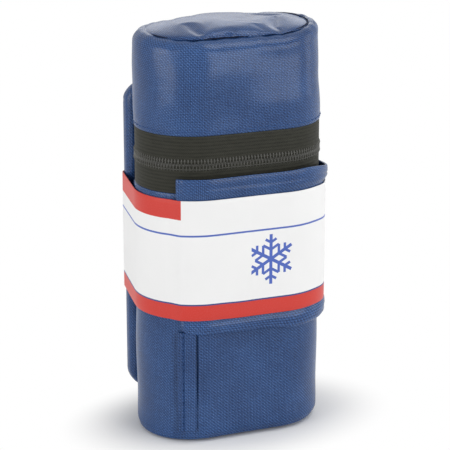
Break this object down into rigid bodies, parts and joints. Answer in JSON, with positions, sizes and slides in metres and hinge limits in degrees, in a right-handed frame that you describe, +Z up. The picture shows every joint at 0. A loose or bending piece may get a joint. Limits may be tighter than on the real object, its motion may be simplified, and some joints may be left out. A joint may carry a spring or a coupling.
{
  "type": "insulin cooling case",
  "caption": "Tall insulated cloth case with rounded ends, a zipped hinged lid, front and rear pockets and a paper sleeve, holding a cold pack under a foam tray for insulin vials.",
  "frame": {"origin": "middle of the flat base, on the surface that the case stands on", "axes": "+Z up, the front with the pocket and the zipper faces -Y, the syringe pocket and the lid's hinge are at +Y, +X is to the right seen from the front"},
  "size_m": [0.0863, 0.0624, 0.179],
  "materials": {
    "blue_nylon": "matte",
    "zipper_tape": "matte",
    "zipper_nylon": "satin",
    "dark_zinc": "satin",
    "printed_paper": "satin",
    "foam": "matte",
    "lining_film": "satin",
    "pack_plastic": "satin",
    "pack_gel": "gloss"
  },
  "bodies": {
    "case_body": {"body_cover": "blue_nylon", "base_panel": "blue_nylon", "base_insulation": "foam", "body_insulation": "foam", "body_lining": "lining_film", "zipper_tape_lower": "zipper_tape", "zipper_coil_lower": "zipper_nylon", "zipper_stop_left": "dark_zinc", "zipper_stop_right": "dark_zinc", "hinge_strip": "blue_nylon", "front_pocket": "blue_nylon", "front_seam_strip": "blue_nylon", "rear_pocket_body": "blue_nylon", "rear_pocket_fold": "blue_nylon", "label_sleeve": "printed_paper", "cold_pack_shell": "pack_plastic", "cold_pack_gel": "pack_gel", "cold_pack_plug": "pack_plastic", "vial_tray": "foam"},
    "lid": {"lid_cover": "blue_nylon", "lid_top_panel": "blue_nylon", "lid_insulation": "foam", "lid_top_insulation": "foam", "lid_lining": "lining_film", "zipper_tape_upper": "zipper_tape", "zipper_coil_upper": "zipper_nylon", "rear_pocket_top": "blue_nylon"},
    "slider": {"zipper_slider": "dark_zinc"},
    "pull": {"zipper_pull": "dark_zinc"}
  },
  "joints": [
    {"name": "lid_hinge", "type": "hinge", "parent": "case_body", "child": "lid", "pos_m": [0, 0.025, 0.124], "axis": [-1, 0, 0], "range_deg": [0, 100], "deforming": ["hinge_strip", "rear_pocket_fold"]},
    {"name": "slider_run", "type": "hinge", "parent": "case_body", "child": "slider", "pos_m": [0.016, 0, 0.124], "axis": [0, 0, -1], "range_deg": [0, 122]},
    {"name": "pull_swing", "type": "hinge", "parent": "slider", "child": "pull", "pos_m": [0.04061, 0.01598, 0.124], "axis": [0.5446, -0.8387, 0], "range_deg": [0, 150]}
  ]
}
